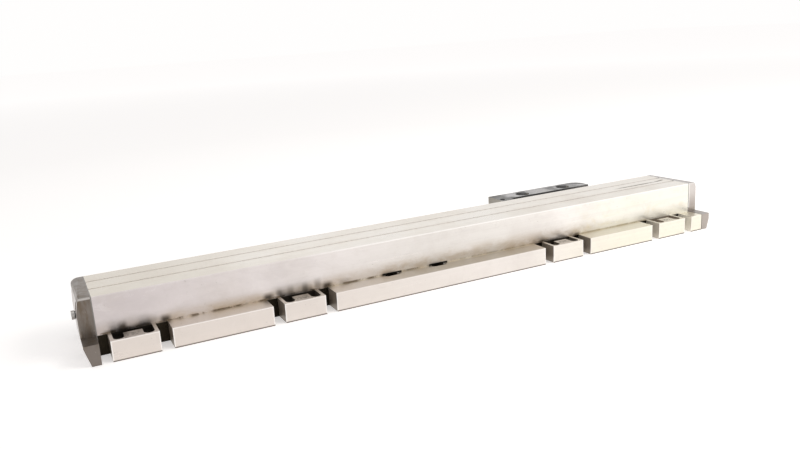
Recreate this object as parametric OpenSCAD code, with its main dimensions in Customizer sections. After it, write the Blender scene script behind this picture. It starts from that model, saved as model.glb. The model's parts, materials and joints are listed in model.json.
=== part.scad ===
// Sealed linear encoder: a long extruded housing with a slotted mounting flange, two end caps,
// a glass scale inside, and a roller-guided scanning unit whose mounting block rides outside.
// Units are millimetres. +X runs along the scale, +Y points from the flange to the mounting
// block, +Z points up from the mounting face. The origin is the fixed point: the mouth of the
// threaded hole at mid length, on the mounting face.

/* [View] */
// node to draw, or "all"

/* [Housing] */
// length of the extrusion between its two sawn ends
housing_len = 449.5; // [440:0.5:460]
// distance from the fixed point to the left sawn end
housing_left = 218.5; // [215:0.5:220]
// height of the section above the mounting face
height = 35; // [34:0.1:37]
// depth of the section, flange included
body_depth = 60; // [58:0.1:62]
// depth of the mounting flange in front of the body
flange_depth = 14.2; // [13.8:0.1:15]
// height of the mounting flange
flange_height = 12.2; // [11.5:0.1:12.6]
// wall between flange and cavity
front_wall = 4; // [3.8:0.1:4.2]
// wall that holds the sealing lips
back_wall = 4.2; // [4:0.1:4.6]
// floor and roof of the cavity
flat_wall = 3.6; // [3.4:0.1:3.8]
// radius of the screw channels in the cavity corners
channel_r = 3.4; // [3.2:0.1:3.6]
// distance of each screw channel from the two cavity walls
channel_inset = 2.2; // [2:0.1:2.6]
// width of each shallow groove along the roof
roof_groove_w = 1.6; // [1:0.1:2.4]
// depth of each shallow groove along the roof
roof_groove_d = 0.5; // [0.3:0.1:0.8]
// distance of the front roof groove from the flange front
roof_groove_a = 30; // [28:0.5:32]
// distance of the back roof groove from the flange front
roof_groove_b = 46; // [44:0.5:48]

/* [Flange] */
// pitch of the sprung fixing blocks
fixing_pitch = 100; // [98:0.5:102]
// width of a fixing block
block_w = 26.5; // [25.5:0.1:27]
// gap sawn on both sides of a fixing block
flange_gap = 7; // [6.5:0.1:7.5]
// width of the stiff tongue in the middle of a fixing block
tongue_w = 10.5; // [10:0.1:11]
// width of the pocket on each side of the tongue
pocket_w = 6; // [5.6:0.1:6.2]
// skin left in front of the pockets
pocket_skin = 1.3; // [1.2:0.1:1.6]
// width, front to back, of the slot behind a tongue
relief_w = 3.9; // [3.6:0.1:4.2]
// distance between the two rigid fixings of the middle bar
fixed_pitch = 35; // [34:0.5:36]
// radius of a fixing thread, drawn at its core
fixing_r = 2.5; // [2.4:0.05:2.6]
// depth of a fixing thread
fixing_depth = 9.5; // [9:0.1:10]
// distance of the fixing threads from the flange front
fixing_y = 5.6; // [5.4:0.1:6]

/* [Caps] */
// greatest thickness of an end cap along the scale
cap_len = 8.2; // [7.8:0.1:9]
// broken edge in front of a cap's outer face
cap_edge = 0.8; // [0.5:0.1:1.2]
// height up to which the outer face slants out from the mounting face
cap_foot_z = 10.5; // [9:0.5:11]
// how far that slant lies inside the outer face at the mounting face
cap_foot_lean = 3; // [2:0.1:3.4]
// height at which the outer face starts to lean in
cap_lean_z = 26.5; // [24:0.5:28]
// height at which it leans in faster
cap_shoulder_z = 32.5; // [31:0.5:33]
// lean at that height
cap_shoulder_lean = 1.1; // [0.6:0.1:1.4]
// lean at the top
cap_top_lean = 2.2; // [1.8:0.1:2.6]
// radius of the rounded shoulder that widens towards the back
cap_shoulder_r = 5; // [4:0.5:6]
// where that shoulder starts on the top, inside the outer face, in front
cap_round_front = 2.6; // [2.2:0.1:3]
// the same at the back
cap_round_back = 5.6; // [5:0.1:6]
// how far the back corner of a cap is cut back along the scale
cap_taper = 1.4; // [1:0.1:1.8]
// length of that cut, front to back
cap_taper_run = 18; // [14:1:20]
// thickness of the gasket under a cap
gasket_t = 0.6; // [0.5:0.1:0.8]
// radius of a cap screw thread
screw_r = 1.5; // [1.5:0.05:1.6]
// length of a cap screw below its head
screw_len = 14; // [12:1:16]
// radius of a cap screw head
head_r = 2.75; // [2.7:0.05:2.9]
// height of a cap screw head
head_h = 2; // [1.9:0.1:2.2]
// key size of a cap screw head, across flats
key_w = 2; // [1.8:0.1:2.2]
// cap material left under a screw head
seat_floor = 1.8; // [1.6:0.1:2]
// radial clearance of a screw in its drawn thread
thread_gap = 0.05; // [0.04:0.01:0.08]
// radial clearance of a screw in a plain hole
hole_gap = 0.25; // [0.2:0.05:0.3]

/* [Air ports] */
// radius of an air plug thread
plug_r = 1.5; // [1.5:0.05:1.6]
// radius of an air plug head
plug_head_r = 2.6; // [2.5:0.05:2.8]
// height of an air plug head
plug_head_h = 1.8; // [1.6:0.1:2]
// key size of an air plug, across flats
plug_key_w = 2; // [1.8:0.1:2.2]
// thickness of the seal under an air plug
plug_seal_t = 0.5; // [0.4:0.1:0.8]
// outer radius of that seal
plug_seal_r = 2.2; // [2.1:0.05:2.4]
// distance of the cap air ports from the flange front
port_y = 24.5; // [24:0.5:25]
// height of the cap air ports
port_z = 23.5; // [23:0.5:24]

/* [Scale] */
// thickness of the glass
glass_t = 3; // [2.9:0.1:3.1]
// height of the glass
glass_h = 18.8; // [18.6:0.1:19]
// distance of the glass front face from the flange front
glass_y = 27; // [26.8:0.1:27.1]
// distance from each sawn housing end to the glass
glass_end = 5; // [4:0.5:8]
// thickness of the bonding bed beside the glass
bond_side = 0.3; // [0.25:0.05:0.35]
// thickness of the bonding bed under the glass
bond_under = 0.6; // [0.5:0.1:0.7]
// height of the two ribs that hold the bonding bed
rib_h = 4.4; // [4.2:0.1:4.6]
// thickness of each rib
rib_t = 1.7; // [1.6:0.1:1.8]
// height of the bed groove above the cavity floor
bed_lift = 1; // [0.9:0.1:1.1]
// thickness of the graduation layer
track_t = 0.1; // [0.08:0.01:0.12]
// height of the incremental track
track_h = 3.4; // [3:0.1:3.6]
// height of the absolute track
code_h = 2.2; // [2:0.1:2.4]
// gap between the two tracks
track_gap = 0.8; // [0.6:0.1:1]

/* [Sealing lips] */
// height of the slot in the back wall
slot_h = 10; // [9.6:0.1:10.4]
// height of the slot's middle above the mounting face
slot_z = 18; // [17.9:0.1:18.1]
// width of the key that holds a lip
lip_key_w = 2; // [1.8:0.1:2.2]
// height of the key that holds a lip
lip_key_h = 2.5; // [2.3:0.1:2.7]
// how far a lip stands out behind the housing
lip_out = 2.2; // [2:0.1:2.3]
// clearance between a lip and the blade
lip_gap = 0.3; // [0.25:0.05:0.4]

/* [Guide rollers] */
// radius of a roller
roller_r = 2.5; // [2.4:0.05:2.6]
// width of a roller
roller_w = 2; // [1.9:0.1:2.1]
// radius of a roller pin
pin_r = 0.8; // [0.75:0.01:0.85]
// running clearance between pin and roller
pin_gap = 0.03; // [0.02:0.01:0.05]
// clearance between a roller and the glass it runs on
roll_gap = 0.05; // [0.04:0.01:0.06]
// clearance on each side of a roller
side_gap = 0.3; // [0.3:0.05:0.35]
// distance of the outer rollers from the carriage middle
roller_x = 18; // [17:0.5:19]

/* [Carriage] */
// rest position of the scanning unit from the fixed point
scan_rest = 131.5; // [-163:0.5:176]
// length of the carriage
carriage_len = 52; // [50:1:54]
// underside of the bridge over the glass
bridge_z = 25; // [24.9:0.1:25.1]
// thickness of the bridge
bridge_t = 4.4; // [4.3:0.1:4.5]
// front of the bridge
bridge_y = 24.6; // [24.5:0.1:24.8]
// front face of the back leg
leg_y = 35.6; // [35.5:0.1:35.8]
// thickness of the back leg
leg_t = 2.8; // [2.6:0.1:3]
// length of the lamp housing along the scale
lamp_len = 28; // [26:1:28]
// front face of the lamp housing
lamp_y = 20.2; // [20:0.1:20.4]
// radius of the condenser lens
lens_r = 3.95; // [3.9:0.01:3.97]
// thickness of a small circuit board
board_t = 0.8; // [0.7:0.1:0.9]
// thickness of the flexible print
flex_t = 0.2; // [0.15:0.05:0.25]
// width of the flexible print
flex_w = 7; // [6:0.5:8]

/* [Blade] */
// thickness of the blade that passes between the lips
blade_t = 2.2; // [2:0.1:2.4]
// half length of the blade between its pointed ends
blade_half = 39; // [37:0.5:41]
// depth of the blade held inside the mounting block
blade_hold = 5.7; // [5.5:0.1:6]
// radius of the coupling rod
rod_r = 0.8; // [0.7:0.05:0.9]

/* [Mounting block] */
// length of the mounting block
mblock_len = 88; // [87:0.5:90]
// depth of the mounting block, front to back
mblock_depth = 20.1; // [19.6:0.1:21]
// gap between housing and mounting block
mblock_gap = 4.4; // [4:0.1:5]
// how far the block's raised part stands back from its front face
mblock_step = 4.6; // [4:0.1:5]
// height of the shelf in front of the raised part, from the block's underside
mblock_shelf = 20.5; // [19:0.5:22]
// underside of the mounting block
mblock_z = 6.5; // [6:0.5:7]
// height of the mounting block
mblock_h = 27.5; // [27:0.1:28]
// radius of the rounded back corner
mblock_round = 9; // [8:0.5:10]
// distance between the two fixing holes
mblock_pitch = 40; // [39:0.5:41]
// first fixing hole from the middle of the block
mblock_hole_x = -17.5; // [-18:0.5:-17]
// distance of the fixing holes behind the block's front face
mblock_hole_in = 11.3; // [11.2:0.1:11.6]
// radius of a fixing hole
mblock_hole_r = 2.75; // [2.7:0.05:2.9]
// radius of a fixing counterbore
mblock_cbore_r = 5.5; // [5:0.1:5.6]
// depth of a fixing counterbore
mblock_cbore_d = 6; // [5.6:0.1:6.4]
// length of the full-height corner at the block's left end
mblock_corner = 11; // [10:0.5:12]
// radius of the earth strap's tapped hole in that corner
earth_r = 2.1; // [2:0.05:2.2]
// depth of the earth strap's tapped hole
earth_depth = 8; // [7:0.5:9]

/* [Connector] */
// radius of the connector bore
socket_r = 6.5; // [6.3:0.1:6.7]
// distance of the connector axis behind the block's front face
socket_in = 11.6; // [11.2:0.1:12]
// height of the connector axis above the block's underside
socket_up = 11; // [10:0.5:12]
// depth of the connector bore
socket_depth = 14; // [13.5:0.1:14.5]
// wall of the connector shell at its mouth
shell_t = 0.8; // [0.7:0.1:0.9]
// depth of the connector mouth
mouth_len = 8; // [7.5:0.1:8.5]
// number of pins in the outer ring
pin_count = 7; // [5:1:8]
// radius of a contact pin
contact_r = 0.5; // [0.45:0.05:0.55]
// radius of the ring of contact pins
contact_ring = 3; // [2.8:0.1:3.2]

/* [Hidden] */
$fn = 48;
// overrun that lets a cut pass a face
cut = 1;
x_left = -housing_left;
x_right = housing_len - housing_left;
cav_y0 = flange_depth + front_wall;
cav_y1 = body_depth - back_wall;
cav_z0 = flat_wall;
cav_z1 = height - flat_wall;
slot_z0 = slot_z - slot_h / 2;
slot_z1 = slot_z + slot_h / 2;
// screw channels as [y, z]
channels = [
  [cav_y0 + channel_inset, cav_z0 + channel_inset],
  [cav_y0 + channel_inset, cav_z1 - channel_inset],
  [cav_y1 - channel_inset, cav_z0 + channel_inset],
  [cav_y1 - channel_inset, cav_z1 - channel_inset]];
// fixing blocks and the gaps between them
block_xs = [-2 * fixing_pitch, -fixing_pitch, fixing_pitch, 2 * fixing_pitch];
gap_off = block_w / 2 + flange_gap / 2;
relief_y = flange_depth - relief_w;
fixed_xs = [0, -fixed_pitch];
// glass and its bed
bed_z = cav_z0 + bed_lift;
glass_z = bed_z + bond_under;
glass_top = glass_z + glass_h;
glass_y1 = glass_y + glass_t;
glass_x0 = x_left + glass_end;
glass_len = housing_len - 2 * glass_end;
rib_top = cav_z0 + rib_h;
bed_y0 = glass_y - bond_side;
bed_y1 = glass_y1 + bond_side;
// lips
lip_y0 = cav_y1 + (back_wall - lip_key_w) / 3;
lip_y1 = lip_y0 + lip_key_w;
lip_tip_y = body_depth + lip_out;
lip_tip_z = blade_t / 2 + lip_gap;
lip_flap = 0.7;
// caps
cap_hole_r = screw_r + hole_gap;
cap_head_r = head_r + hole_gap;
root_3 = sqrt(3);
// rollers
top_roll_z = glass_top + roller_r + roll_gap;
top_roll_y = glass_y + glass_t / 2;
face_roll_y = glass_y1 + roller_r + roll_gap;
face_roll_z = glass_top - 2.6;
lug_t = 1.1;
low_roll_z = rib_top + lug_t + side_gap + roller_w / 2 + 0.4;
pre_roll_y = glass_y - roller_r - roll_gap;
pre_roll_z = slot_z - 1.5;
pre_roll_x = lamp_len / 2 + 5.6;
lug_half = 2.2;
lug_y = face_roll_y - 1.7;
pin_top_y0 = bridge_y + 0.6;
pin_top_len = 5.8;
pin_face_len = 7.5;
pin_low_len = roller_w + 2 * side_gap + 2 * lug_t;
half_stack = roller_w / 2 + side_gap;
race_r = 1.5;
race_w = 0.5;
race_d = 0.25;
// optics, all on one axis
optic_z = low_roll_z + 6;
track_z = optic_z - (track_h + track_gap + code_h) / 2;
code_z = track_z + track_h + track_gap;
lamp_y1 = glass_y - 1;
lamp_z0 = rib_top + 2.2;
lamp_z1 = bridge_z - 0.6;
shoulder_t = 1.4;
shoulder_r = lens_r - 0.6;
lens_t = 1.2;
lens_rise = 1;
lens_gap = 0.05;
lens_ball = (lens_r * lens_r + lens_rise * lens_rise) / (2 * lens_rise);
lens_y1 = lamp_y1 - shoulder_t;
lamp_board_half = 5;
led_r = 1.5;
led_len = 0.6;
reticle_t = 1.2;
reticle_y = glass_y1 + track_t + 0.6;
reticle_w = 18;
reticle_h = 6.6;
rim = 1.2;
leg_y1 = leg_y + leg_t;
leg_z = low_roll_z - pin_low_len / 2;
board_half = 13;
board_z0 = optic_z - 6.4;
board_z1 = optic_z + 5.6;
chip_half = 6;
chip_h = 3.4;
chip_t = 1.4;
board_screw_x = 10.6;
// preload spring on the lamp housing's front face
spring_t = 0.4;
spring_x0 = 6.4;
spring_x1 = pre_roll_x + lug_half;
spring_h = 9.4;
spring_screw_x = 9.4;
spring_screw_dz = 3;
fork_web = 1.4;
// second screw size, for blade, spring and coupling
small_r = 1;
small_gap = 0.05;
small_head_r = 1.8;
small_head_h = 1.1;
// blade and coupling
blade_z0 = slot_z - blade_t / 2;
blade_z1 = slot_z + blade_t / 2;
blade_y0 = leg_y1 + 2.6;
blade_half_in = 24;
blade_half_out = 26;
blade_shoulder = 31;
blade_tip_y = (cav_y1 + body_depth + lip_out) / 2;
blade_neck = 1.2;
channel_depth = 0.3;
post_len = 10;
post_w = 4;
post_x = 14;
// the coupling's screw heads stay this far below the upper screw channel
coupling_room = 0.4;
post_h = cav_z1 - channel_inset - channel_r - coupling_room - small_head_h - blade_z1;
rod_z = blade_z1 + post_h / 2;
rod_y0 = blade_y0 + post_w / 2;
rod_end = 1;
post_top = blade_z1 + post_h;
lug_z0 = blade_z1 + 0.9;
lug_z1 = post_top;
// flexible print
flex_bend = 2;
flex_z0 = board_z0 + 0.4;
flex_up = 3;
flex_rise_y = leg_y1 + board_t + flex_t + 2 * flex_bend;
flex_z1 = blade_z0 + channel_depth - flex_t;
// mounting block
mb_y0 = body_depth + mblock_gap;
mblock_back = mb_y0 + mblock_depth;
mblock_hole_y = mb_y0 + mblock_hole_in;
mb_x0 = -mblock_len / 2;
mb_x1 = mblock_len / 2;
mb_top = mblock_z + mblock_h;
mb_holes = [mblock_hole_x, mblock_hole_x + mblock_pitch];
earth_wall = 1.6;
earth_x = mb_x0 + earth_r + earth_wall;
earth_y = mb_y0 + earth_r + 2 * earth_wall;
hold_y1 = mb_y0 + blade_hold;
// electronics pocket between the fixing holes
wall_cbore = 2.6;
pocket_x0 = mblock_hole_x + mblock_cbore_r + wall_cbore;
pocket_x1 = mblock_hole_x + mblock_pitch - mblock_cbore_r - wall_cbore;
pocket_y0 = hold_y1 + 1.4;
pocket_step = 1.5;
board_seat_y = pocket_y0 + 4.3;
pocket_z0 = mblock_z + 4;
pocket_z1 = mb_top - 4;
cover_t = 1.2;
cover_gasket_t = 0.4;
cover_rim = 3.4;
cover_y0 = mblock_back - cover_t;
cover_gasket_y = cover_y0 - cover_gasket_t;
cover_screw_len = 5;
cover_x0 = pocket_x0 - cover_rim;
cover_x1 = pocket_x1 + cover_rim;
cover_z0 = pocket_z0 - cover_rim;
cover_z1 = pocket_z1 + cover_rim;
cover_screws_xz = [
  [pocket_x0 - cover_rim / 2, pocket_z0 - cover_rim / 2],
  [pocket_x1 + cover_rim / 2, pocket_z0 - cover_rim / 2],
  [pocket_x0 - cover_rim / 2, pocket_z1 + cover_rim / 2],
  [pocket_x1 + cover_rim / 2, pocket_z1 + cover_rim / 2]];
pcb_gap = 0.3;
pcb_t = 1;
// passages inside the mounting block
socket_zc = mblock_z + socket_up;
wire_half = 4;
wire_z0 = blade_z0 - 1;
wire_z1 = blade_z1 + 1;
duct_r = 1.2;
duct_wall = 1;
duct_y = mblock_hole_y + mblock_hole_r + duct_wall + duct_r;
duct_z = socket_zc - 2;
duct_x0 = mb_x0 + socket_depth - cut;
// connector
socket_y = mb_y0 + socket_in;
shell_out = 3;
collar_t = 1.6;
collar_r = socket_r + 1.1;
shell_len = 11;
mouth_r = socket_r - shell_t;
insert_r = mouth_r - 0.4;
insert_x = mb_x0 - shell_out + mouth_len + 0.3;
insert_t = mb_x0 + shell_len - insert_x;
contact_len = 5;
// air port of the mounting block
mb_port_y = mb_y0 + 7;
mb_port_z = mblock_z + 9;
mb_port_depth = 9;
driver_w = 0.5;
driver_d = 0.5;
blade_screw_xs = [-18, 18];
blade_screw_y = mb_y0 + blade_hold / 2;
blade_screw_sink = 1.6;
blade_screw_len = blade_z0 + 1.9 - mblock_z - blade_screw_sink;

// ---------- shared helpers ----------

// moves a shape from "flange front" to the fixed-point origin
module body_frame() {
  translate([0, -fixing_y, 0])
    children();
}

// the same, for a shape that belongs to the scanning unit
module scan_frame() {
  translate([scan_rest, -fixing_y, 0])
    children();
}

// sweeps a section drawn in (Y, Z) along X
module along_x(x0, len) {
  translate([x0, 0, 0])
    rotate([90, 0, 90])
      linear_extrude(len)
        children();
}

// rectangle in a section, from corner to corner
module span(a0, a1, b0, b1) {
  translate([a0, b0])
    square([a1 - a0, b1 - b0]);
}

// box from corner to corner
module box(x0, x1, y0, y1, z0, z1) {
  translate([x0, y0, z0])
    cube([x1 - x0, y1 - y0, z1 - z0]);
}

// rod along X that starts at x
module rod_x(x, y, z, len, r) {
  translate([x, y, z])
    rotate([0, 90, 0])
      cylinder(h = len, r = r);
}

// rod along Y that starts at y
module rod_y(x, y, z, len, r) {
  translate([x, y, z])
    rotate([-90, 0, 0])
      cylinder(h = len, r = r);
}

// hexagonal key recess along the local Z axis
module hex_key(w, depth) {
  linear_extrude(depth)
    polygon([for (i = [0:5]) [w / root_3 * cos(60 * i), w / root_3 * sin(60 * i)]]);
}

// cap screw, head up along local +Z from the seat at z = 0
module cap_screw(r, len, hr, hh, key) {
  difference() {
    union() {
      cylinder(h = hh, r = hr);
      translate([0, 0, -len])
        cylinder(h = len + cut / 2, r = r);
    }
    translate([0, 0, hh / 2])
      hex_key(key, hh);
  }
}

// slotted cheese-head screw, seat at z = 0
module slot_screw(r, len, hr, hh) {
  difference() {
    union() {
      cylinder(h = hh, r = hr);
      translate([0, 0, -len])
        cylinder(h = len + hh / 2, r = r);
    }
    translate([-hr - cut, -driver_w / 2, hh - driver_d])
      cube([2 * hr + 2 * cut, driver_w, hh]);
  }
}

// ---------- housing ----------

// solid outline of the extrusion
module outline() {
  polygon([
    [0, 0],
    [body_depth, 0],
    [body_depth, height],
    [flange_depth, height],
    [flange_depth, flange_height],
    [0, flange_height]]);
}

// the cavity with its screw channels and scale ribs left standing
module cavity() {
  difference() {
    span(cav_y0, cav_y1, cav_z0, cav_z1);
    for (c = channels)
      translate(c)
        circle(r = channel_r);
    span(bed_y0 - rib_t, bed_y1 + rib_t, cav_z0 - cut, rib_top);
  }
  span(bed_y0, bed_y1, bed_z, rib_top + cut / 2);
}

// the blade slot with a key groove above and below
module lip_slot() {
  span(cav_y1 - cut, body_depth + cut, slot_z0, slot_z1);
  span(lip_y0, lip_y1, slot_z0 - lip_key_h, slot_z1 + lip_key_h);
}

module housing_section() {
  difference() {
    outline();
    cavity();
    lip_slot();
    for (c = channels)
      translate(c)
        circle(r = screw_r + thread_gap);
    for (y = [roof_groove_a, roof_groove_b])
      span(y - roof_groove_w / 2, y + roof_groove_w / 2, height - roof_groove_d, height + cut);
  }
}

// one pocket beside a tongue, round at the front
module tongue_pocket(x) {
  translate([x, pocket_skin + pocket_w / 2, -cut])
    cylinder(h = flange_height + 2 * cut, r = pocket_w / 2);
  box(x - pocket_w / 2, x + pocket_w / 2, pocket_skin + pocket_w / 2, flange_depth,
    -cut, flange_height + cut);
}

// pockets and relief slot that leave a tongue hanging on two leaf springs
module sprung_block(x) {
  for (s = [-1, 1])
    tongue_pocket(x + s * (tongue_w + pocket_w) / 2);
  box(x - tongue_w / 2 - cut, x + tongue_w / 2 + cut, relief_y, flange_depth,
    -cut, flange_height + cut);
}

// relief slot behind a rigid fixing, round at both ends
module rigid_relief(x) {
  for (s = [-1, 1])
    translate([x + s * (tongue_w - relief_w) / 2, relief_y + relief_w / 2, -cut])
      cylinder(h = flange_height + 2 * cut, r = relief_w / 2);
  box(x - (tongue_w - relief_w) / 2, x + (tongue_w - relief_w) / 2, relief_y, flange_depth,
    -cut, flange_height + cut);
}

// threaded fixing hole, open at the mounting face
module fixing_thread(x) {
  translate([x, fixing_y, -cut])
    cylinder(h = fixing_depth + cut, r = fixing_r);
}

module scale_housing() {
  color([0.83, 0.82, 0.79])
    body_frame()
      difference() {
        along_x(x_left, housing_len)
          housing_section();
        for (b = block_xs)
          for (s = [-1, 1])
            box(b + s * gap_off - flange_gap / 2, b + s * gap_off + flange_gap / 2,
              -cut, flange_depth, -cut, flange_height + cut);
        for (b = block_xs)
          sprung_block(b);
        for (b = block_xs)
          fixing_thread(b);
        for (f = fixed_xs)
          rigid_relief(f);
        for (f = fixed_xs)
          fixing_thread(f);
      }
}

// ---------- end caps ----------

// side view of a cap: its outer face slants out from the foot and leans in towards the top
module cap_side(x_in, s) {
  x_out = x_in + s * cap_len;
  translate([0, body_depth + cut, 0])
    rotate([90, 0, 0])
      linear_extrude(body_depth + 2 * cut)
        polygon([
          [x_in - s * cut, -cut],
          [x_out - s * cap_foot_lean, -cut],
          [x_out - s * cap_foot_lean, 0],
          [x_out, cap_foot_z],
          [x_out, cap_lean_z],
          [x_out - s * cap_shoulder_lean, cap_shoulder_z],
          [x_out - s * cap_top_lean, height],
          [x_out - s * cap_top_lean, height + cut],
          [x_in - s * cut, height + cut]]);
}

// plan view of a cap behind y0, with a broken front edge and a tapered back corner
module cap_plan(x_in, s, y0) {
  x_out = x_in + s * cap_len;
  translate([0, 0, -cut])
    linear_extrude(height + 2 * cut)
      polygon([
        [x_in - s * cut, y0 - cut],
        [x_out - s * cap_edge, y0 - cut],
        [x_out - s * cap_edge, y0],
        [x_out, y0 + cap_edge],
        [x_out, body_depth - cap_taper_run],
        [x_out - s * cap_taper, body_depth],
        [x_out - s * cap_taper, body_depth + cut],
        [x_in - s * cut, body_depth + cut]]);
}

// what the rounded shoulder takes off; its line runs inwards from front to back
module cap_shoulder_cut(x_in, s) {
  x_out = x_in + s * cap_len;
  turn = atan((cap_round_back - cap_round_front) / (body_depth - flange_depth));
  translate([x_out - s * cap_round_front, flange_depth, height])
    rotate([90, 0, s * turn])
      translate([0, 0, -body_depth])
        linear_extrude(2 * body_depth)
          difference() {
            translate([s > 0 ? 0 : -2 * cap_shoulder_r, -cap_shoulder_r])
              square([2 * cap_shoulder_r, 2 * cap_shoulder_r]);
            translate([0, -cap_shoulder_r])
              circle(r = cap_shoulder_r);
          }
}

// cap drawn with its inner face at x_in, reaching outwards along s
module end_cap(x_in, s) {
  x_out = x_in + s * cap_len;
  seat = x_in + s * seat_floor;
  difference() {
    intersection() {
      union() {
        intersection() {
          along_x(min(x_in, x_out), cap_len)
            span(flange_depth, body_depth, 0, height);
          cap_plan(x_in, s, flange_depth);
        }
        intersection() {
          along_x(min(x_in, x_out), cap_len)
            span(0, flange_depth + cap_edge + cut, 0, flange_height);
          cap_plan(x_in, s, 0);
        }
      }
      cap_side(x_in, s);
    }
    cap_shoulder_cut(x_in, s);
    for (c = channels) {
      rod_x(min(x_in, x_out) - cut, c[0], c[1], cap_len + 2 * cut, cap_hole_r);
      rod_x(min(seat, seat + s * cap_len), c[0], c[1], cap_len, cap_head_r);
    }
    rod_x(min(x_in, x_out) - cut, port_y, port_z, cap_len + 2 * cut, plug_r + thread_gap);
  }
}

module end_cap_left() {
  color([0.42, 0.40, 0.37])
    body_frame()
      end_cap(x_left - gasket_t, -1);
}

module end_cap_right() {
  color([0.42, 0.40, 0.37])
    body_frame()
      end_cap(x_right + gasket_t, 1);
}

// gasket that follows the housing's closed outline
module gasket(x) {
  along_x(x, gasket_t)
    difference() {
      span(flange_depth, body_depth, 0, height);
      difference() {
        span(cav_y0, cav_y1, cav_z0, cav_z1);
        for (c = channels)
          translate(c)
            circle(r = channel_r);
      }
      for (c = channels)
        translate(c)
          circle(r = cap_hole_r);
    }
}

module gasket_left() {
  color([0.08, 0.08, 0.08])
    body_frame()
      gasket(x_left - gasket_t);
}

module gasket_right() {
  color([0.08, 0.08, 0.08])
    body_frame()
      gasket(x_right);
}

module cap_screws() {
  seat = gasket_t + seat_floor;
  color([0.30, 0.30, 0.31])
    body_frame()
      for (c = channels) {
        translate([x_left - seat, c[0], c[1]])
          rotate([0, -90, 0])
            cap_screw(screw_r, screw_len, head_r, head_h, key_w);
        translate([x_right + seat, c[0], c[1]])
          rotate([0, 90, 0])
            cap_screw(screw_r, screw_len, head_r, head_h, key_w);
      }
}

// plug that closes an air port, seat at the outer face of its seal
module air_plug() {
  cap_screw(plug_r, cap_len - 1 + plug_seal_t, plug_head_r, plug_head_h, plug_key_w);
}

// seal ring under an air plug
module port_seal() {
  difference() {
    cylinder(h = plug_seal_t, r = plug_seal_r);
    translate([0, 0, -cut])
      cylinder(h = plug_seal_t + 2 * cut, r = plug_r + thread_gap);
  }
}

module air_plug_left() {
  color([0.25, 0.25, 0.26])
    body_frame()
      translate([x_left - gasket_t - cap_len - plug_seal_t, port_y, port_z])
        rotate([0, -90, 0])
          air_plug();
}

module air_plug_right() {
  color([0.25, 0.25, 0.26])
    body_frame()
      translate([x_right + gasket_t + cap_len + plug_seal_t, port_y, port_z])
        rotate([0, 90, 0])
          air_plug();
}

module plug_seals() {
  color([0.06, 0.06, 0.06])
    body_frame() {
      translate([x_left - gasket_t - cap_len, port_y, port_z])
        rotate([0, -90, 0])
          port_seal();
      translate([x_right + gasket_t + cap_len, port_y, port_z])
        rotate([0, 90, 0])
          port_seal();
    }
}

// ---------- scale ----------

module glass_scale() {
  color([0.75, 0.88, 0.86, 0.45])
    body_frame()
      along_x(glass_x0, glass_len)
        span(glass_y, glass_y1, glass_z, glass_top);
}

module scale_bond() {
  color([0.55, 0.20, 0.14])
    body_frame()
      along_x(glass_x0, glass_len)
        difference() {
          span(bed_y0, bed_y1, bed_z, rib_top);
          span(glass_y, glass_y1, glass_z, rib_top + cut);
        }
}

module graduation() {
  color([0.62, 0.63, 0.66])
    body_frame()
      along_x(glass_x0, glass_len) {
        span(glass_y1, glass_y1 + track_t, track_z, track_z + track_h);
        span(glass_y1, glass_y1 + track_t, code_z, code_z + code_h);
      }
}

// one lip: key, root and a flap that slants out to its tip; up is +1 or -1
module lip_section(up) {
  translate([0, slot_z])
    polygon([
      [lip_y0, up * (slot_h / 2 + lip_key_h)],
      [lip_y1, up * (slot_h / 2 + lip_key_h)],
      [lip_y1, up * slot_h / 2],
      [body_depth, up * slot_h / 2],
      [body_depth + lip_flap, up * (slot_h / 2 - lip_flap)],
      [lip_tip_y, up * (lip_tip_z + lip_flap / 2)],
      [lip_tip_y - lip_flap, up * lip_tip_z],
      [body_depth - lip_flap, up * (slot_h / 2 - lip_flap * 2)],
      [lip_y0, up * (slot_h / 2 - lip_flap)]]);
}

module lip_upper() {
  color([0.10, 0.10, 0.10])
    body_frame()
      along_x(x_left, housing_len)
        lip_section(1);
}

module lip_lower() {
  color([0.10, 0.10, 0.10])
    body_frame()
      along_x(x_left, housing_len)
        lip_section(-1);
}

// ---------- scanning carriage ----------

// lug that carries a roller pin standing along Z; z0 is its underside
module pin_lug(x, y0, y1, z0, z1) {
  box(x - lug_half, x + lug_half, y0, y1, z0, z1);
}

// bridge over the glass with a window for each top roller
module bridge() {
  difference() {
    box(-carriage_len / 2, carriage_len / 2, bridge_y, leg_y1, bridge_z, bridge_z + bridge_t);
    for (x = [-roller_x, roller_x])
      box(x - roller_r - 2 * side_gap, x + roller_r + 2 * side_gap,
        top_roll_y - half_stack, top_roll_y + half_stack, bridge_z - cut, bridge_z + bridge_t + cut);
  }
}

// back leg with lugs for the face rollers, reticle frame and coupling lug
module back_leg() {
  box(-carriage_len / 2, carriage_len / 2, leg_y, leg_y1, leg_z, bridge_z + cut);
  for (x = [-roller_x, roller_x]) {
    pin_lug(x, lug_y, leg_y + cut, face_roll_z - half_stack - lug_t, face_roll_z - half_stack);
    pin_lug(x, lug_y, leg_y + cut, face_roll_z + half_stack, bridge_z + cut);
  }
  pin_lug(0, lug_y, leg_y + cut, leg_z, leg_z + lug_t);
  pin_lug(0, lug_y, leg_y + cut, low_roll_z + half_stack, low_roll_z + half_stack + lug_t);
  box(-reticle_w / 2 - rim, reticle_w / 2 + rim, reticle_y + reticle_t, leg_y + cut,
    optic_z - reticle_h / 2 - rim, optic_z + reticle_h / 2 + rim);
  box(-post_x - post_len, -post_x, leg_y1 - cut, blade_y0 + post_w, lug_z0, lug_z1);
}

// lamp housing in front of the glass, hung from the bridge
module lamp_house() {
  box(-lamp_len / 2, lamp_len / 2, lamp_y, lamp_y1, lamp_z0, lamp_z1);
  box(-lamp_len / 2, lamp_len / 2, bridge_y, lamp_y1, lamp_z1 - cut, bridge_z + cut);
}

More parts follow.
